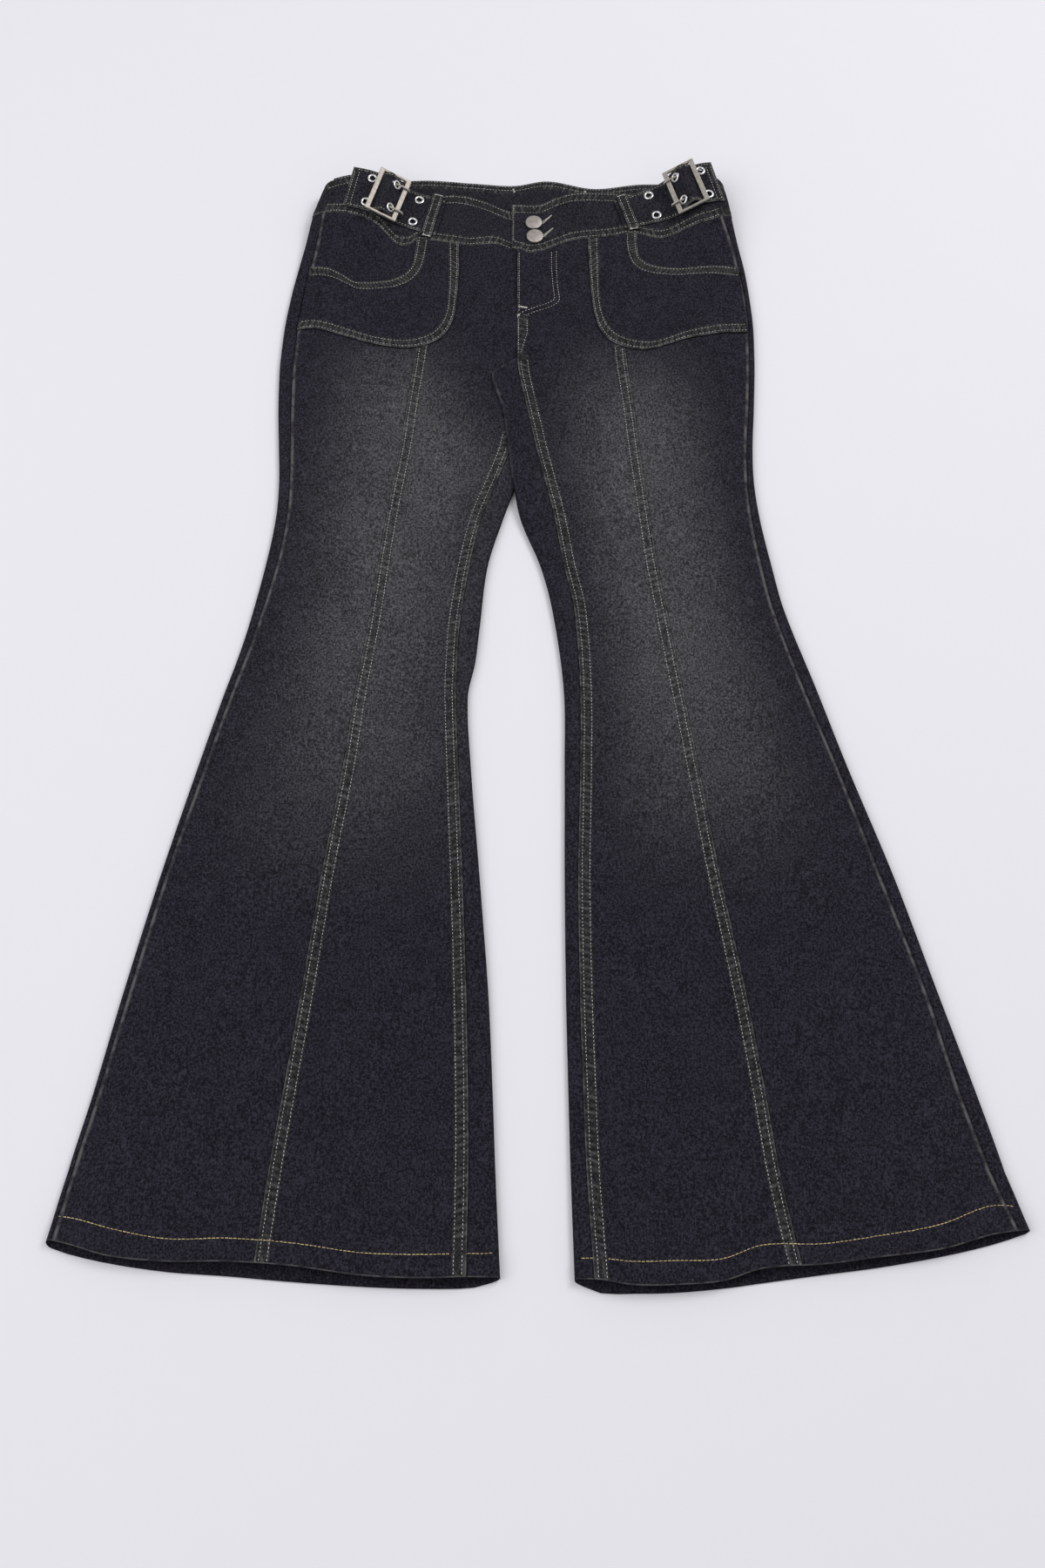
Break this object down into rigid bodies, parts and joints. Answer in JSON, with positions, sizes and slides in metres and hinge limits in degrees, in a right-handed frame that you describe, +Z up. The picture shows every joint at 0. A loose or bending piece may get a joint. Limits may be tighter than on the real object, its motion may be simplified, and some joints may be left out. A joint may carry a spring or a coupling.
{
  "type": "flared jeans",
  "caption": "Low-rise flared jeans laid flat: princess-seamed legs, scooped patch pockets, wide waistband with buckled side straps.",
  "frame": {"origin": "under the middle of the outline, on the surface that the garment lies on", "axes": "+Y from the hems to the waist, +X to the right as seen from above, +Z up out of the surface"},
  "size_m": [0.735, 1.0855, 0.0359],
  "materials": {
    "denim_back": "dark blue-black twill denim",
    "denim_front": "blue-black twill denim, faded down the thighs",
    "denim_band": "doubled dark denim with beige stitching",
    "stitching": "beige sewing thread",
    "buckle_metal": "pale polished nickel",
    "eyelet_metal": "bright nickel",
    "button_metal": "matte nickel"
  },
  "bodies": {
    "root": {"back_leg_left": "denim_back", "back_leg_right": "denim_back", "front_side_left": "denim_front", "front_side_right": "denim_front", "front_inner_left": "denim_front", "front_inner_right": "denim_front", "pocket_left": "denim_front", "pocket_right": "denim_front", "fly": "denim_front", "waistband_front_left": "denim_band", "waistband_front_right": "denim_band", "waistband_back": "denim_band", "belt_loop_left": "denim_band", "belt_loop_right": "denim_band", "strap_left": "denim_band", "strap_right": "denim_band", "buckle_left": "buckle_metal", "buckle_right": "buckle_metal", "prong_left_1": "buckle_metal", "prong_left_2": "buckle_metal", "prong_right_1": "buckle_metal", "prong_right_2": "buckle_metal", "eyelet_left_1": "eyelet_metal", "eyelet_left_2": "eyelet_metal", "eyelet_left_3": "eyelet_metal", "eyelet_left_4": "eyelet_metal", "eyelet_left_5": "eyelet_metal", "eyelet_left_6": "eyelet_metal", "eyelet_right_1": "eyelet_metal", "eyelet_right_2": "eyelet_metal", "eyelet_right_3": "eyelet_metal", "eyelet_right_4": "eyelet_metal", "eyelet_right_5": "eyelet_metal", "eyelet_right_6": "eyelet_metal", "button_upper": "button_metal", "button_lower": "button_metal"}
  },
  "joints": []
}
